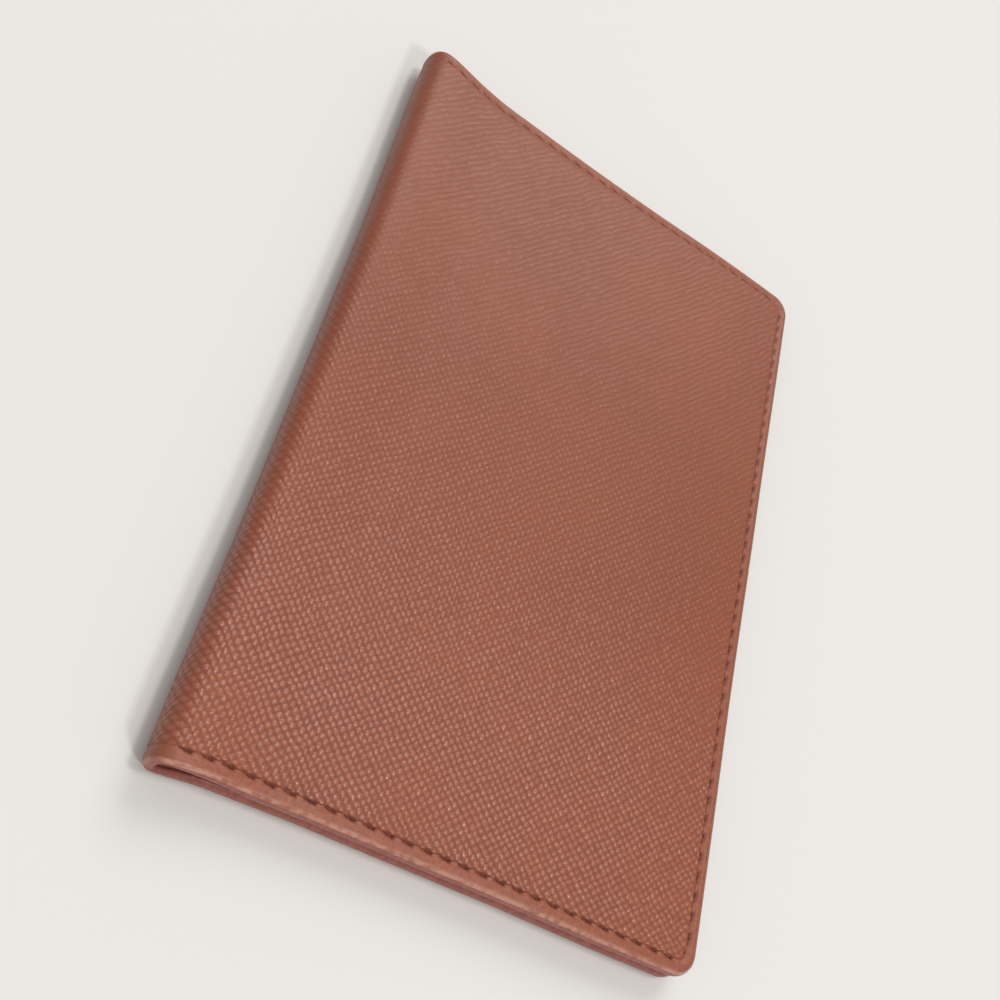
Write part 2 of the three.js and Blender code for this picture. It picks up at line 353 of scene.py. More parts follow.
ROLL_POWER = 2.8  # 2 would be a round roll
ROLL_TUCK = 0.2  # how far the roll is drawn in along its middle
HEAD_SWELL = 0.8  # how much further out it stands at its head end
TAIL_SWELL = 0.45  # and at its tail end
HEAD_PROUD = 0.22  # how far the roll reaches past the covers at the head
TAIL_PROUD = 0.75  # and at the tail
HEAD_HOLLOW = 0.42  # how far the front's head edge bows in beside the spine
TAIL_SPREAD = 0.4  # how far the tail edge lies past true at both ends
TAIL_HOLLOW = 0.3  # how far it bows in between them
FORE_SPREAD = 0.45  # how far the fore edge lies past true at the tail corner
WAVE = 0.03  # height of the slow waves in the leather


def case_shape(cover, s, y, n, _inset):
    """Small departures of the worked case from true, shared by all its layers."""
    u = cover.across(s)
    turn = np.minimum(s, cover.roll_length) / ROLL
    side, flat = np.abs(np.cos(turn)), np.abs(np.sin(turn))
    square = ROLL * ((side**ROLL_POWER + flat**ROLL_POWER) ** (-1 / ROLL_POWER) - 1)
    near_end = smooth(np.abs(y), 25, HALF_LENGTH - 3)
    n = n + square + side**2 * (np.where(y > 0, HEAD_SWELL, TAIL_SWELL) * near_end - ROLL_TUCK)
    proud = (1 - smooth(u, -1, 11)) * smooth(np.abs(y), 40, HALF_LENGTH)
    y = y + np.where(y > 0, HEAD_PROUD, -TAIL_PROUD) * proud
    if cover is FRONT:
        bow = smooth(u, 3, 12) * (1 - smooth(u, 50, 78))
        y = y - HEAD_HOLLOW * bow * smooth(y, 50, HALF_LENGTH)
    middle = smooth(u, 8, 26) * (1 - smooth(u, 55, 80))
    y = y - (TAIL_SPREAD - TAIL_HOLLOW * middle) * smooth(-y, 50, HALF_LENGTH)
    s = s + FORE_SPREAD * smooth(u, 60, 91) * smooth(-y, 20, HALF_LENGTH)
    wave = WAVE * np.sin(s * 0.11 + y * 0.045) + WAVE * np.sin(y * 0.13 - s * 0.07 + 1.3)
    n = n + wave * smooth(u, 6, 20)
    return s, y, n


OUTER_SKIN = 0.45  # only skin nearer to the outside than this is drawn in by the stitches
PULL_WIDTH = 4  # and only this near to the edge


def skin_shape(cover, s, y, n, inset):
    """The case's shape, with the skin settled and drawn in under each stitch."""
    pull = stitch_pull(cover, s, y)[0] * (n > -OUTER_SKIN) * (inset < PULL_WIDTH)
    settled = n - pull - droop(cover, s, inset)
    return case_shape(cover, s, y, settled, inset)


PULL = 0.1  # how far the leather is drawn in where a stitch comes up
PULL_MORE = 0.16  # and how much further where it goes down
HOLE_PLACE = 0.82  # of the stitch, where it goes down
HOLE_WIDTH = 0.22
HOLE_LENGTH = 0.3


def stitch_pull(cover, s, y):
    """How far the leather is drawn in under the stitches, and how near each point is to the hole
    where a stitch goes down (1 in the hole)."""
    pull, hole = np.zeros(len(s)), np.zeros(len(s))
    rim = np.minimum(cover.length - s, HALF_LENGTH - np.abs(y)) < PULL_WIDTH
    near_s, near_y = s[rim], y[rim]
    places = seam_places(cover)
    for here, there in zip(places, places[1:]):
        step_s, step_y = there[0] - here[0], there[1] - here[1]
        length = math.hypot(step_s, step_y)
        along = ((near_s - here[0]) * step_s + (near_y - here[1]) * step_y) / length
        aside = ((near_y - here[1]) * step_s - (near_s - here[0]) * step_y) / length
        share = along / length
        aside = aside - STITCH_LEAN * (0.5 - share)
        within = smooth(share, 0.08, 0.3) * (1 - smooth(share, HOLE_PLACE, 0.98))
        deeper = PULL + PULL_MORE * smooth(share, 0.3, 0.85)
        width = np.where(aside > 0, 0.22, 0.36)
        pull[rim] += deeper * within * np.exp(-((aside / width) ** 2))
        past = np.maximum(along - HOLE_PLACE * length, 0.6 * (HOLE_PLACE * length - along))
        hole[rim] += np.exp(-((aside / HOLE_WIDTH) ** 2) - (past / HOLE_LENGTH) ** 2)
    return pull, hole


# Sections of the edge: inset from the outline, and depth as a share of the cover's edge thickness
SKIN_OUTER = [
    (4.0, -0.04), (3.6, -0.04), (3.2, -0.04), (2.96, -0.036), (2.8, -0.024), (2.69, -0.004),
    (2.6, 0.022), (2.5, 0.048), (2.4, 0.06), (2.26, 0.055), (2.1, 0.036), (1.92, 0.012),
    (1.75, -0.012), (1.55, -0.03), (1.35, -0.036), (1.15, -0.032), (0.95, -0.018), (0.76, 0.006),
    (0.58, 0.038), (0.42, 0.08), (0.28, 0.13), (0.17, 0.19), (0.08, 0.265), (0.02, 0.35),
    (0.0, 0.44), (0.0, 0.54), (0.02, 0.65), (0.07, 0.75), (0.15, 0.84), (0.27, 0.915),
    (0.43, 0.97), (0.64, 1.0), (0.86, 1.0), (1.0, 0.96),
]  # fmt: skip
SKIN_INNER = [(1.06, 0.8), (1.4, 0.55), (2.6, 0.16), (4.0, 0.11)]


def skin_profile(cover):
    """The outer skin: proud between seam and edge, round at the edge, and turned in below."""

    def profile(s):
        section = np.array(SKIN_OUTER + SKIN_INNER)
        return section[:, 0], section[None, :, 1] * edge_thickness(cover, s)[:, None]

    return profile


INNER_SHEET = 0.22  # thickness of a lining or sleeve
GROOVE_WIDTH = 0.27  # of the seam in it, to one side
LINING_AT_EDGE = -0.04  # its level from the turned edge's inner face
SLEEVE_AT_EDGE = 0.08  # and the sleeve's
SLEEVE_RAISE = 0.55  # sleeve to lining, with the card's room between them
# Insets of the rings on the sewn border, the same for both
BORDER_INSETS = [1.7, 2.0, 2.2, 2.4, 2.6, 2.8, 3.0, 3.2, 3.4, 3.6, 3.8, 4.0]


def inner_sheet_profile(cover, covered, opened, raised, at_edge, groove_depth):
    """A lining sheet that rises over the hem along the three edges, with the seam pressed in.
    covered and opened are the insets of the rings on its two faces."""
    insets = np.array(covered + opened)
    hidden = len(covered) - 1

    def profile(s):
        bead = 1 - smooth(insets, 2.2, 3.6)
        middle = lining_level(cover, s)[:, None] + raised
        edge = (edge_thickness(cover, s) + droop(cover, s, 0.0))[:, None] + at_edge
        depths = middle + (edge - middle) * bead[None]
        back = np.interp(np.arange(len(insets)), [hidden - 1, hidden + 2], [INNER_SHEET, 0.0])
        groove = groove_depth * np.exp(-(((insets - SEAM_INSET) / GROOVE_WIDTH) ** 2))
        depths = depths - np.where(np.arange(len(insets)) > hidden + 1, groove, back)[None]
        return insets, depths

    return profile


def lining_profile(cover):
    covered = [4.0, 3.4, 2.8, 2.2, 1.6, 1.1, 1.02]
    opened = [1.04, 1.14, 1.3] + BORDER_INSETS
    return inner_sheet_profile(cover, covered, opened, 0.0, LINING_AT_EDGE, 0.1)


def sleeve_profile(cover):
    covered = [4.0, 3.4, 2.8, 2.2, 1.7, 1.16, 1.08]
    opened = [1.1, 1.2, 1.36] + BORDER_INSETS
    return inner_sheet_profile(cover, covered, opened, SLEEVE_RAISE, SLEEVE_AT_EDGE, 0.12)


# The stiffener's section, a thin sheet with its edges eased: inset and depth
BOARD_SECTION = np.array(
    [(4.0, 1.13), (3.7, 1.13), (3.62, 1.15), (3.6, 1.21), (3.62, 1.27), (3.7, 1.29), (4.0, 1.29)]
)


def board_profile(s):
    return BOARD_SECTION[:, 0], np.tile(BOARD_SECTION[:, 1], (len(s), 1))


# ---- Materials ----
class Graph:
    """A small helper that adds shader nodes and links them."""

    def __init__(self, name):
        self.material = bpy.data.materials.new(name)
        self.material.use_nodes = True
        self.nodes = self.material.node_tree.nodes
        self.links = self.material.node_tree.links
        self.nodes.clear()
        self.shader = self.nodes.new("ShaderNodeBsdfPrincipled")
        output = self.nodes.new("ShaderNodeOutputMaterial")
        self.links.new(self.shader.outputs[0], output.inputs[0])

    def feed(self, socket, value):
        if isinstance(value, bpy.types.NodeSocket):
            self.links.new(value, socket)
        elif value is not None:
            socket.default_value = value

    def set(self, **values):
        for name, value in values.items():
            self.feed(self.shader.inputs[name.replace("_", " ")], value)

    def attribute(self, name):
        node = self.nodes.new("ShaderNodeAttribute")
        node.attribute_name = name
        return node

    def coordinates(self):
        return self.nodes.new("ShaderNodeTexCoord").outputs["Object"]

    def math(self, operation, a, b=None, c=None):
        node = self.nodes.new("ShaderNodeMath")
        node.operation = operation
        for socket, value in zip(node.inputs, (a, b, c)):
            self.feed(socket, value)
        return node.outputs[0]

    def ramp(self, value, low, high, to_low=0.0, to_high=1.0):
        node = self.nodes.new("ShaderNodeMapRange")
        node.interpolation_type = "SMOOTHSTEP"
        for socket, item in zip(node.inputs, (value, low, high, to_low, to_high)):
            self.feed(socket, item)
        return node.outputs[0]

    def split(self, vector):
        node = self.nodes.new("ShaderNodeSeparateXYZ")
        self.feed(node.inputs[0], vector)
        return node.outputs

    def join(self, x, y, z=0.0):
        node = self.nodes.new("ShaderNodeCombineXYZ")
        for socket, value in zip(node.inputs, (x, y, z)):
            self.feed(socket, value)
        return node.outputs[0]

    def noise(self, vector, scale, detail=2.0, roughness=0.5):
        node = self.nodes.new("ShaderNodeTexNoise")
        self.feed(node.inputs["Vector"], vector)
        node.inputs["Scale"].default_value = scale
        node.inputs["Detail"].default_value = detail
        node.inputs["Roughness"].default_value = roughness
        return node.outputs["Fac"]

    def mix(self, factor, a, b):
        node = self.nodes.new("ShaderNodeMix")
        node.data_type = "RGBA"
        self.feed(node.inputs[0], factor)
        self.feed(node.inputs[6], a)
        self.feed(node.inputs[7], b)
        return node.outputs[2]

    def wave(self, value, pitch, power):
        """Rounded ridges from 0 to 1 with narrow furrows between them, for powers below 1."""
        turn = self.math("MULTIPLY", value, 2 * math.pi / pitch)
        rise = self.math("MULTIPLY_ADD", self.math("COSINE", turn), 0.5, 0.5)
        return self.math("POWER", rise, power)

    def bump(self, height, distance):
        """A normal from a height whose unit is distance, in metres."""
        node = self.nodes.new("ShaderNodeBump")
        node.inputs["Strength"].default_value = 1.0
        node.inputs["Distance"].default_value = distance
        self.feed(node.inputs["Height"], height)
        return node.outputs[0]


def colour(red, green, blue):
    """A colour given in display values, 0 to 255, as a linear one."""
    linear = []
    for value in (red, green, blue):
        share = value / 255
        linear.append(share / 12.92 if share <= 0.04045 else ((share + 0.055) / 1.055) ** 2.4)
    return (*linear, 1.0)


GRAIN_ROW = 1.2  # pitch of the embossing along one diagonal, in millimetres
GRAIN_STEP = 1.05  # and along the other
GRAIN_TURN = 0.0008  # how fast the rows turn toward the head and the tail, per millimetre
GRAIN_SWAY = 1.5  # how far the rows wander, in millimetres
ROW_JITTER = 0.34  # how far single pips are out of line
STEP_JITTER = 0.3
ROW_FLOOR = 0.26  # height left in the furrows between rows
STEP_FLOOR = 0.38
ROW_BAR = 0.6  # height of the bars where pips run together along a row
STEP_BAR = 0.42


def grain_height(graph, flat):
    """Cross-grain embossing: pips on two diagonals, some of them run together either way.
    Toward the head one set of furrows has been rubbed flat and only the other still shows."""
    s, y, _ = graph.split(flat)
    plane = graph.join(s, y)
    jitter = graph.math("SUBTRACT", graph.noise(plane, 0.62, 1.0), 0.5)
    warp = graph.math("SUBTRACT", graph.noise(plane, 0.13, 2.0, 0.5), 0.5)
    shift = graph.math("SUBTRACT", graph.noise(graph.join(y, s, 7.3), 0.17, 2.0, 0.5), 0.5)
    along = graph.math("MULTIPLY", graph.math("SUBTRACT", s, y), math.sqrt(0.5))
    across = graph.math("MULTIPLY", graph.math("ADD", s, y), math.sqrt(0.5))
    turn = graph.math("MULTIPLY", graph.math("MULTIPLY", y, y), GRAIN_TURN)
    along = graph.math("ADD", along, turn)
    across = graph.math("SUBTRACT", across, turn)
    across = graph.math("MULTIPLY_ADD", warp, GRAIN_SWAY, across)
    across = graph.math("MULTIPLY_ADD", jitter, ROW_JITTER, across)
    along = graph.math("MULTIPLY_ADD", shift, GRAIN_SWAY, along)
    along = graph.math("MULTIPLY_ADD", jitter, -STEP_JITTER, along)
    ridge = graph.wave(across, GRAIN_ROW, 0.62)
    ridge = graph.math("MULTIPLY_ADD", ridge, 1 - ROW_FLOOR, ROW_FLOOR)
    swell = graph.wave(along, GRAIN_STEP, 0.6)
    swell = graph.math("MULTIPLY_ADD", swell, 1 - STEP_FLOOR, STEP_FLOOR)
    rubbed = graph.ramp(y, -30.0, 55.0, 0.0, 0.85)
    ridge = graph.math("MAXIMUM", ridge, rubbed)
    one_way = graph.ramp(graph.noise(graph.join(across, along, 3.1), 0.4, 2.0), 0.48, 0.64)
    other_way = graph.ramp(graph.noise(graph.join(along, across, 11.7), 0.4, 2.0), 0.54, 0.7)
    pip = graph.math("MULTIPLY", ridge, swell)
    for where, bar, height in ((one_way, ridge, ROW_BAR), (other_way, swell, STEP_BAR)):
        run = graph.math("MULTIPLY", graph.math("MULTIPLY", where, bar), height)
        pip = graph.math("MAXIMUM", pip, run)
    uneven = graph.ramp(graph.noise(plane, 0.7, 2.0), 0.3, 0.7, 0.65, 1.1)
    return graph.math("MULTIPLY", pip, uneven)


# Colours of the case's leather
HEAD_VALLEY = colour(136, 73, 43)  # between the pips, at the head
TAIL_VALLEY = colour(121, 58, 38)
HEAD_CROWN = colour(153, 91, 61)  # on top of them; partly a painted glint, pinker toward the tail
TAIL_CROWN = colour(162, 96, 72)
RIM_DARK = colour(135, 70, 49)  # smooth leather between the seam and the edge
RIM_LIGHT = colour(151, 86, 63)
SIDE_DARK = colour(134, 68, 56)  # side of the turned edge
SIDE_LIGHT = colour(154, 84, 70)
CLOUD = colour(150, 76, 42)
WAIST = colour(130, 58, 22)  # warmer across the middle of the cover
# painted shade on the roll of the spine
PAINTED_ROLL_SHADE = colour(116, 64, 52)
# rubbed leather along the top of the edge, partly a painted highlight
RUBBED_AND_HIGHLIT = colour(204, 150, 132)
# painted shade, for the needle holes and the drawn-in leather at the stitches
PAINTED_HOLE_SHADE = colour(92, 42, 32)
DEEPEST_GRAIN = 0.00018  # metres


def case_leather():
    graph = Graph("case_leather")
    flat = graph.attribute("flat").outputs["Vector"]
    depth = graph.attribute("depth").outputs["Fac"]
    stitch_shade = graph.attribute("stitch_shade").outputs["Fac"]
    s, y, inset = graph.split(flat)
    plane = graph.join(s, y)
    # The field inside the seam is embossed, most deeply at the tail.
    inside = graph.ramp(inset, 2.36, 2.62)
    faded = graph.ramp(y, -65.0, 40.0, 1.0, 0.42)
    height = graph.math("MULTIPLY", grain_height(graph, flat), inside)
    height = graph.math("MULTIPLY", height, faded)
    pores = graph.noise(plane, 4.5, 3.0, 0.6)
    cloud = graph.noise(plane, 0.03, 3.0, 0.55)
    blotch = graph.noise(plane, 0.22, 3.0, 0.6)
    # Lighter crowns and darker furrows: partly the leather's own tone, partly painted glints on the
    # crowns and painted shade in the furrows
    valley = graph.mix(faded, HEAD_VALLEY, TAIL_VALLEY)
    crown = graph.mix(faded, HEAD_CROWN, TAIL_CROWN)
    field = graph.mix(graph.ramp(height, 0.15, 0.85), valley, crown)
    speck = graph.noise(plane, 1.4, 3.0, 0.6)
    rim = graph.mix(graph.ramp(speck, 0.35, 0.65), RIM_DARK, RIM_LIGHT)
    body = graph.mix(inside, rim, field)
    # Broad changes of tone: clouds and the middle of the cover; and painted shade on the roll of
    # the spine.
    body = graph.mix(graph.ramp(cloud, 0.35, 0.65, 0.0, 0.3), body, CLOUD)
    waist = graph.math("ABSOLUTE", graph.math("ADD", y, 2.0))
    body = graph.mix(graph.ramp(waist, 8.0, 50.0, 0.28, 0.0), body, WAIST)
    body = graph.mix(graph.ramp(s, 6.5, 1.5, 0.0, 0.45), body, PAINTED_ROLL_SHADE)
    edge = graph.ramp(depth, 0.35, 0.9)
    side = graph.mix(graph.ramp(speck, 0.35, 0.65), SIDE_DARK, SIDE_LIGHT)
    body = graph.mix(edge, body, side)
    # Along the top of the edge, in patches: rubbed leather, lighter and pinker, partly a painted
    # highlight.
    patchy = graph.ramp(graph.noise(graph.join(s, y, depth), 0.8, 2.0, 0.5), 0.36, 0.6, 0.3, 1.0)
    worn_and_highlit = graph.math("MULTIPLY", graph.ramp(inset, 0.75, 0.35), graph.ramp(depth, 0.75, 0.4))
    worn_and_highlit = graph.math("MULTIPLY", worn_and_highlit, patchy)
    body = graph.mix(graph.math("MULTIPLY", worn_and_highlit, 0.75), body, RUBBED_AND_HIGHLIT)
    # Painted shade in the needle holes and where the stitches draw the leather in, less of it
    # toward the head.
    stitch_shade = graph.math("MULTIPLY", stitch_shade, graph.ramp(y, 0.0, 60.0, 1.0, 0.4))
    body = graph.mix(graph.ramp(stitch_shade, 0.1, 0.9, 0.0, 0.85), body, PAINTED_HOLE_SHADE)
    # Crowns of the pips and worn places are polished.
    gloss = graph.ramp(height, 0.0, 0.9, 0.52, 0.19)
    gloss = graph.mix(inside, graph.ramp(blotch, 0.3, 0.7, 0.5, 0.36), gloss)
    gloss = graph.math("MULTIPLY_ADD", graph.math("SUBTRACT", blotch, 0.5), 0.16, gloss)
    gloss = graph.math("MULTIPLY_ADD", worn_and_highlit, -0.2, gloss)
    normal = graph.bump(graph.math("MULTIPLY_ADD", pores, 0.12, height), DEEPEST_GRAIN)
    graph.set(Base_Color=body, Roughness=gloss, Normal=normal)
    graph.shader.inputs["Specular IOR Level"].default_value = 0.48
    return graph.material


def lining_leather():
    graph = Graph("lining_leather")
    flat = graph.attribute("flat").outputs["Vector"]
    s, y, _ = graph.split(flat)
    plane = graph.join(s, y)
    cells = graph.nodes.new("ShaderNodeTexVoronoi")
    cells.feature = "DISTANCE_TO_EDGE"
    graph.feed(cells.inputs["Vector"], plane)
    cells.inputs["Scale"].default_value = 1.6
    pebble = graph.ramp(cells.outputs["Distance"], 0.0, 0.16)
    blotch = graph.noise(plane, 0.15, 4.0, 0.6)
    body = graph.mix(graph.ramp(blotch, 0.3, 0.7), colour(120, 68, 50), colour(142, 86, 64))
    body = graph.mix(graph.ramp(pebble, 0.0, 1.0, 0.25, 0.0), body, colour(88, 46, 34))
    normal = graph.bump(graph.math("MULTIPLY_ADD", pebble, 0.6, blotch), 0.00005)
    graph.set(Base_Color=body, Roughness=graph.ramp(blotch, 0.3, 0.7, 0.66, 0.54), Normal=normal)
    return graph.material


def thread_fibre():
    """Thread that shows most where a stitch comes up; toward where it goes down its colour darkens,
    painted shade of the needle hole.
    """
    graph = Graph("seam_thread")
    place = graph.coordinates()
    run, _, _ = graph.split(graph.attribute("flat").outputs["Vector"])
    fuzz = graph.noise(place, 9000.0, 2.0)
    tone = graph.noise(place, 260.0, 2.0)
    body = graph.mix(graph.ramp(tone, 0.35, 0.65), colour(104, 50, 40), colour(122, 62, 50))
    # Painted shade toward the end of each stitch, where it goes down into the needle hole
    body = graph.mix(graph.ramp(run, 0.35, 0.85, 0.0, 0.8), body, colour(78, 34, 28))
    head = graph.ramp(graph.split(place)[1], 0.0, 0.06, 0.0, 0.6)
    body = graph.mix(head, body, colour(138, 76, 58))
    graph.set(Base_Color=body, Roughness=0.7, Normal=graph.bump(fuzz, 0.00004))
    return graph.material


def card_stock():
    graph = Graph("refill_card")
    place = graph.coordinates()
    fibre = graph.noise(place, 2600.0, 4.0, 0.7)
    cloud = graph.noise(place, 90.0, 3.0)
    body = graph.mix(graph.ramp(cloud, 0.35, 0.65), colour(70, 50, 40), colour(84, 62, 50))
    body = graph.mix(graph.ramp(fibre, 0.55, 0.75, 0.0, 0.4), body, colour(112, 88, 70))
    graph.set(Base_Color=body, Roughness=0.78, Normal=graph.bump(fibre, 0.00002))
    return graph.material


LINE_PITCH = 6.5  # ruling of the leaves, in millimetres
HEAD_MARGIN = 12.0  # head of the leaf to the first line


def writing_paper():
    graph = Graph("paper")
    place = graph.coordinates()
    _, y, _ = graph.split(place)
    first_line = REFILL_HALF - HEAD_MARGIN
    down = graph.math("SUBTRACT", first_line, graph.math("MULTIPLY", y, 1 / MM))
    beat = graph.math("PINGPONG", down, LINE_PITCH / 2)
    line = graph.ramp(beat, 0.22, 0.08)
    on_page = graph.ramp(down, -0.5, -0.2)
    fibre = graph.noise(place, 3000.0, 4.0, 0.7)
    cloud = graph.noise(place, 60.0, 2.0)
    body = graph.mix(graph.ramp(cloud, 0.3, 0.7), colour(238, 233, 219), colour(241, 236, 224))
    body = graph.mix(graph.ramp(fibre, 0.6, 0.8, 0.0, 0.25), body, colour(222, 208, 182))
    ink = graph.math("MULTIPLY", graph.math("MULTIPLY", line, on_page), 0.5)
    body = graph.mix(ink, body, colour(150, 158, 164))
    graph.set(Base_Color=body, Roughness=0.9, Normal=graph.bump(fibre, 0.000015))
    return graph.material


def staple_wire():
    graph = Graph("staple_wire")
    place = graph.coordinates()
    drawn = graph.noise(place, 5000.0, 2.0)
    body = graph.mix(graph.ramp(drawn, 0.3, 0.7), colour(176, 176, 178), colour(202, 202, 204))
    graph.set(Base_Color=body, Roughness=graph.ramp(drawn, 0.3, 0.7, 0.24, 0.4))
    graph.shader.inputs["Metallic"].default_value = 1.0
    return graph.material


def grey_board():
    graph = Graph("stiffener")
    place = graph.coordinates()
    fibre = graph.noise(place, 1500.0, 4.0, 0.7)
    body = graph.mix(graph.ramp(fibre, 0.35, 0.65), colour(128, 120, 108), colour(150, 142, 130))
    graph.set(Base_Color=body, Roughness=0.9, Normal=graph.bump(fibre, 0.00003))
    return graph.material


CASE = case_leather()
LINING = lining_leather()
THREAD = thread_fibre()
CARD = card_stock()
PAPER = writing_paper()
WIRE = staple_wire()
BOARD = grey_board()


# ---- The case ----
# Places round the roll, from the middle of the spine, that get a grid line of their own
ROLL_STEPS = [0.06, 0.2, 0.4, 0.7, 1.0, 1.4, 1.8, 2.2, 2.6]
ROLL_STEPS += [3.0, 3.4, 3.8, 4.2, 4.6, 5.0, 5.4, 5.8, 6.2]
PULL_SHADE = 0.35  # share of the painted shade at a stitch that comes from the drawn-in leather
HOLE_SHADE = 0.65  # and from the needle hole


def case_skin(cover):
    name = cover.name + "_case_leather"
    profile = skin_profile(cover)
    fine_until = cover.roll_length + 3
    piece = sheet_solid(name, cover, 0.0, profile, CASE, skin_shape, ROLL_STEPS, fine_until)
    places = np.empty(3 * len(piece.data.vertices), np.float32)
    piece.data.attributes["flat"].data.foreach_get("vector", places)
    flat = places.reshape(-1, 3)
    # Painted shade at the stitches, from the drawn-in leather and the needle holes
    pull, hole = stitch_pull(cover, flat[:, 0], flat[:, 1])
    stitch_shade = piece.data.attributes.new("stitch_shade", "FLOAT", "POINT")
    shade = PULL_SHADE * pull / (PULL + PULL_MORE) + HOLE_SHADE * hole
    stitch_shade.data.foreach_set("value", shade.astype(np.float32))
    bend(piece, cover)
    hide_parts(cover.name + "_leather", "spine_leather")


def case_lining(cover):
    name = cover.name + "_case_lining"
    profile = lining_profile(cover)
    fine_until = cover.roll_length + 6
    piece = sheet_solid(name, cover, 0.0, profile, LINING, case_shape, ROLL_STEPS, fine_until)
    bend(piece, cover)
    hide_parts(cover.name + "_lining", "spine_lining")


MOUTH_STEPS = [0.05, 0.15, 0.3, 0.5, 0.8, 1.2]  # the same, from the mouth of a sleeve


def case_sleeve(cover):
    mouth = cover.roll_length - ROLL + SLEEVE_U
    name = cover.name + "_sleeve"
    profile = sleeve_profile(cover)
    piece = sheet_solid(name, cover, mouth, profile, LINING, case_shape, MOUTH_STEPS, mouth + 2)
    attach(piece, cover.name + "_cover")
    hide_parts(cover.name + "_pocket")


def case_board(cover):
    start = cover.roll_length - ROLL + BOARD_U
    name = cover.name + "_stiffener"
    piece = sheet_solid(name, cover, start, board_profile, BOARD, case_shape)
    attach(piece, cover.name + "_cover")
    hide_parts(cover.name + "_board")


STRAND_RADIUS = 0.135
STRAND_OFFSET = 0.11  # of each strand from the middle of the thread
STRAND_SIDES = 7
STITCH_STEPS = 15
STRAND_TURNS = 1.6  # twist of the two strands over one stitch
STITCH_FROM = 0.14  # where the thread comes up, as a share of the way between needle holes
STITCH_TO = 0.88  # and where it goes down
THREAD_LEVEL = -0.17  # middle of the thread, from the skin's outside
THREAD_FALL = 0.1  # how much deeper it lies by the next hole
THREAD_DIVE = 0.4  # how far its ends go down into the leather
INNER_THREAD = 0.08  # how far the seam's other side stands out of the lining or sleeve


def stitch_run(k, here, there):
    """Points (s, y, n, share of the stitch) and faces of one stitch: two twisted strands
    that dive into the leather at both ends."""
    s0, y0, ds0, dy0 = here
    s1, y1, ds1, dy1 = there
    u = np.linspace(STITCH_FROM, STITCH_TO, STITCH_STEPS)
    lean = STITCH_LEAN * (0.5 - u)
    s = s0 + (s1 - s0) * u - lean * (dy0 + (dy1 - dy0) * u)
    y = y0 + (y1 - y0) * u + lean * (ds0 + (ds1 - ds0) * u)
    share = (u - STITCH_FROM) / (STITCH_TO - STITCH_FROM)
    dive = 1 - np.abs(np.sin(math.pi * share)) ** 0.45
    lift = THREAD_LEVEL - THREAD_FALL * u - THREAD_DIVE * dive
    step = np.array([s1 - s0, y1 - y0])
    step = step / np.linalg.norm(step)
    points, faces = [], []
    for strand in (0, math.pi):
        base = len(points)
        twist = strand + 2 * math.pi * STRAND_TURNS * u + k
        centre_side = STRAND_OFFSET * np.cos(twist)
        centre_up = STRAND_OFFSET * np.sin(twist)
        for i in range(STITCH_STEPS):
            for side in range(STRAND_SIDES):
                angle = 2 * math.pi * side / STRAND_SIDES
                aside = centre_side[i] + STRAND_RADIUS * math.cos(angle)
                up = centre_up[i] + STRAND_RADIUS * math.sin(angle)
                points.append((s[i] - aside * step[1], y[i] + aside * step[0], lift[i] + up, u[i]))
        for i in range(STITCH_STEPS - 1):
            for side in range(STRAND_SIDES):
                a = base + i * STRAND_SIDES + side
                b = base + i * STRAND_SIDES + (side + 1) % STRAND_SIDES
                faces.append((a, b, b + STRAND_SIDES, a + STRAND_SIDES))
        last = base + (STITCH_STEPS - 1) * STRAND_SIDES
        faces.append(tuple(range(base, base + STRAND_SIDES))[::-1])
        faces.append(tuple(range(last, last + STRAND_SIDES)))
    return points, faces


def case_seam(cover):
    """The lockstitch on the outer face, and its other side on the inner face."""
    places = seam_places(cover)
    points, faces = [], []
    for k in range(len(places) - 1):
        run, run_faces = stitch_run(k, places[k], places[k + 1])
        middle_s = np.array([(places[k][0] + places[k + 1][0]) / 2])
        sleeve = SLEEVE_AT_EDGE if cover.across(middle_s)[0] > SLEEVE_U else 0.0
        inner = -edge_thickness(cover, middle_s)[0] - sleeve - INNER_THREAD
        for turned in (False, True):
            stitch = np.array(run)
            if turned:
                stitch[:, 2] = inner - stitch[:, 2]
            base = len(points)
            points += stitch.tolist()
            for face in run_faces:
                face = face[::-1] if turned else face
                faces.append(tuple(base + index for index in face))
    points = np.array(points)
    settled = points[:, 2] - droop(cover, points[:, 0], SEAM_INSET)
    s, y, n = case_shape(cover, points[:, 0], points[:, 1], settled, None)
    if cover is BACK:
        faces = [face[::-1] for face in faces]
    flat = np.stack([points[:, 3], points[:, 0], points[:, 1]], -1)
    piece = new_mesh(cover.name + "_seam", cover.place(s, y, n), faces, THREAD, flat=flat)
    bend(piece, cover)
    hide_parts(cover.name + "_seam_thread")


for cover in (BACK, FRONT):
    case_skin(cover)
    case_lining(cover)
    case_sleeve(cover)
    case_board(cover)
    case_seam(cover)

# ---- The refill ----
STRAIGHT_STATIONS = 12
CORNER_STATIONS = 12
FOLD_STATIONS = 13


def page_stations(start, trim=0.0):
    """Stations from the fold to the fore edge: x, and half the page's length there, less trim."""
    straight = REFILL_END - REFILL_CORNER
    turn = np.linspace(0, HALF_PI, CORNER_STATIONS + 1)[1:]
    x = np.linspace(start, straight, STRAIGHT_STATIONS)
    x = np.concatenate([x, straight + REFILL_CORNER * np.sin(turn)])
    half = np.full(STRAIGHT_STATIONS, REFILL_HALF)
    half = np.append(half, REFILL_HALF - REFILL_CORNER * (1 - np.cos(turn)))
    return x, half - trim


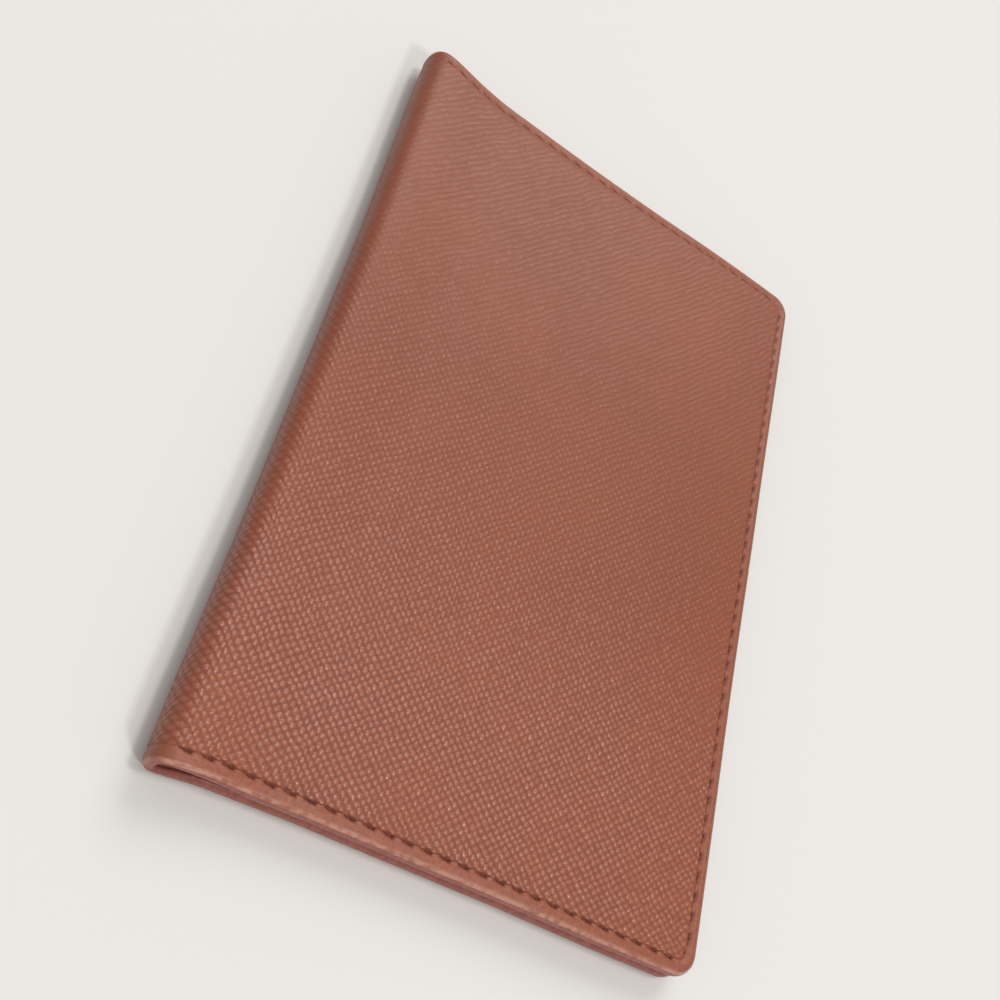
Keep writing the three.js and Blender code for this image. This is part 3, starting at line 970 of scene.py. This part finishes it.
def page_solid(name, one_face, other_face, half, material):
    """A closed sheet from the paths of its two faces in x and z, and half its length at each."""
    count = len(half)
    points = []
    for i in range(count):
        for x, z in (one_face[i], other_face[i]):
            points += [(x, -half[i], z), (x, half[i], z)]
    faces = [(0, 1, 3, 2)]
    for i in range(count - 1):
        a, b = 4 * i, 4 * (i + 1)
        faces += [(a, b, b + 1, a + 1), (a + 2, a + 3, b + 3, b + 2)]
        faces += [(a, a + 2, b + 2, b), (a + 1, b + 1, b + 3, a + 3)]
    last = 4 * (count - 1)
    faces.append((last, last + 2, last + 3, last + 1))
    return new_mesh(name, points, faces, material)


def leaf(number):
    node = "leaf_%02d" % number
    low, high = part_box(node)
    x, half = page_stations(low.x / MM)
    under = [(value, low.z / MM) for value in x]
    over = [(value, high.z / MM) for value in x]
    piece = page_solid("page_%02d" % number, under, over, half, PAPER)
    # Leaves 1 to 6 turn, and leaves 7 to 12 stay on the back cover.
    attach(piece, "back_cover" if number > 6 else node)
    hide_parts(node)


def folded(name, material, tip, thickness, levels, nodes, trim=0.0):
    """A sheet folded at the booklet's fold: a page below, a page above, and a round fold.
    tip is the inside of the fold in x, and levels the heights of the two inner faces,
    all from the axis of the fold."""
    low, high = levels
    middle, gap = (low + high) / 2, (high - low) / 2
    bend_start = 0.3
    x, half = page_stations(FOLD_X + bend_start, trim)
    turn = np.linspace(-HALF_PI, HALF_PI, FOLD_STATIONS + 2)[1:-1]
    faces = []
    for out in (0.0, thickness):
        fold = [
            (
                FOLD_X + bend_start - (bend_start - tip + out) * math.cos(angle),
                FOLD_Z + middle + (gap + out) * math.sin(angle),
            )
            for angle in turn
        ]
        below = [(value, FOLD_Z + low - out) for value in x[::-1]]
        above = [(value, FOLD_Z + high + out) for value in x]
        faces.append(below + fold + above)
    half = np.concatenate([half[::-1], np.full(len(turn), half[0]), half])
    piece = page_solid(name, faces[0], faces[1], half, material)
    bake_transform(piece)
    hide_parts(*nodes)


WIRE_RADIUS = 0.19
WIRE_SIDES = 12
WIRE_BEND = 0.3  # radius of its bends
BEND_STATIONS = 7
CLINCH = 0.21  # middle of the clinched ends, from the fold
CLINCH_GAP = 1.4  # half the gap between them


def staple(node):
    """A staple: its crown outside the fold, two legs through it, and their ends clinched inside."""
    low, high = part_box(node)
    crown = low.x / MM + WIRE_RADIUS
    clinch = FOLD_X + CLINCH
    leg = (high.y - low.y) / MM / 2 - WIRE_RADIUS
    along_fold = (high.y + low.y) / MM / 2
    bends = []
    for centre_x, from_turn in ((clinch - WIRE_BEND, 0.0), (crown + WIRE_BEND, HALF_PI)):
        for turn in np.linspace(from_turn, from_turn + HALF_PI, BEND_STATIONS):
            x = centre_x + WIRE_BEND * math.cos(turn)
            bends.append((x, leg - WIRE_BEND + WIRE_BEND * math.sin(turn)))
    side = [(clinch, CLINCH_GAP)] + bends
    path = np.array(side + [(x, -y) for x, y in side[::-1]])
    along = np.gradient(path, axis=0)
    along /= np.linalg.norm(along, axis=1)[:, None]
    points, faces = [], []
    for (x, y), (dx, dy) in zip(path, along):
        for k in range(WIRE_SIDES):
            angle = 2 * math.pi * k / WIRE_SIDES
            aside, up = WIRE_RADIUS * math.cos(angle), WIRE_RADIUS * math.sin(angle)
            points.append((x - aside * dy, along_fold + y + aside * dx, FOLD_Z + up))
    for i in range(len(path) - 1):
        for k in range(WIRE_SIDES):
            a, b = i * WIRE_SIDES + k, i * WIRE_SIDES + (k + 1) % WIRE_SIDES
            faces.append((a, b, b + WIRE_SIDES, a + WIRE_SIDES))
    last = (len(path) - 1) * WIRE_SIDES
    faces.append(tuple(range(WIRE_SIDES))[::-1])
    faces.append(tuple(range(last, last + WIRE_SIDES)))
    piece = new_mesh(node + "_wire", points, faces, WIRE)
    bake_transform(piece)
    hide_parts(node)


SINGLE_LEAVES = [1, 2, 3, 4, 5, 8, 9, 10, 11, 12]
PAPER_TIP = 0.03  # inside of the middle sheet's fold, from the axis of the fold
CARD_TRIM = 0.4  # the card clears the sewn border of the front sleeve

for number in SINGLE_LEAVES:
    leaf(number)
# The levels are of the two faces that face each other, from the axis of the fold.
paper_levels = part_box("leaf_07")[1].z / MM - FOLD_Z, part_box("leaf_06")[0].z / MM - FOLD_Z
paper = (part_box("leaf_06")[1].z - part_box("leaf_06")[0].z) / MM
folded("middle_sheet", PAPER, PAPER_TIP, paper, paper_levels, ["leaf_07", "leaf_06"])
card_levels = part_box("back_card")[1].z / MM - FOLD_Z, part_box("front_card")[0].z / MM - FOLD_Z
card = (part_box("back_card")[1].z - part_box("back_card")[0].z) / MM
card_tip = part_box("card_fold")[0].x / MM + card - FOLD_X
card_nodes = ["back_card", "card_fold", "front_card"]
folded("card_cover", CARD, card_tip, card, card_levels, card_nodes, CARD_TRIM)
staple("staple_top")
staple("staple_bottom")


# ---- Floor, light and camera ----
FLOOR_REACH = 8.0  # metres
FLOOR_DROP = 0.0002  # so that it never lies in the plane of the leather


def floor():
    graph = Graph("floor")
    graph.set(Base_Color=colour(220, 219, 217), Roughness=0.8)
    mesh = bpy.data.meshes.new("floor")
    quarters = [(-1, -1), (1, -1), (1, 1), (-1, 1)]
    corners = [(FLOOR_REACH * x, FLOOR_REACH * y, 0) for x, y in quarters]
    mesh.from_pydata(corners, [], [(0, 1, 2, 3)])
    mesh.materials.append(graph.material)
    piece = bpy.data.objects.new("floor", mesh)
    bpy.context.scene.collection.objects.link(piece)
    piece.location.z = -FLOOR_DROP


def area_light(name, direction, distance, size, power, tint):
    """A round soft light that faces the notebook, in metres and watts."""
    data = bpy.data.lights.new(name, "AREA")
    data.shape = "DISK"
    data.size = size
    data.energy = power
    data.color = tint
    lamp = bpy.data.objects.new(name, data)
    bpy.context.scene.collection.objects.link(lamp)
    lamp.location = Vector(direction).normalized() * distance
    lamp.rotation_euler = (-lamp.location).to_track_quat("-Z", "Y").to_euler()


floor()
area_light("window", (0.12, 0.72, 0.68), 3.2, 2.2, 38.0, (1.0, 0.98, 0.95))
area_light("strip", (0.38, -0.55, 0.74), 2.4, 0.4, 15.0, (1.0, 0.98, 0.97))
area_light("lamp", (0.18, 0.02, 0.97), 2.6, 0.5, 17.0, (1.0, 0.98, 0.95))
area_light("room", (-0.65, -0.6, 0.45), 3.2, 3.0, 9.0, (1.0, 0.98, 0.97))
world = bpy.data.worlds.new("room")
world.use_nodes = True
world.node_tree.nodes["Background"].inputs["Color"].default_value = (0.99, 0.985, 0.97, 1.0)
world.node_tree.nodes["Background"].inputs["Strength"].default_value = 0.46
bpy.context.scene.world = world
bpy.context.scene.view_settings.view_transform = "Standard"

camera_data = bpy.data.cameras.new("camera")
camera_data.sensor_width = 36
camera_data.lens = 44.67
camera_data.clip_start = 0.01
camera = bpy.data.objects.new("camera", camera_data)
camera.location = (-0.08565, -0.1218, 0.16887)
camera.rotation_euler = [math.radians(v) for v in (23.932, -32.695, 15.713)]
bpy.context.scene.collection.objects.link(camera)
bpy.context.scene.camera = camera
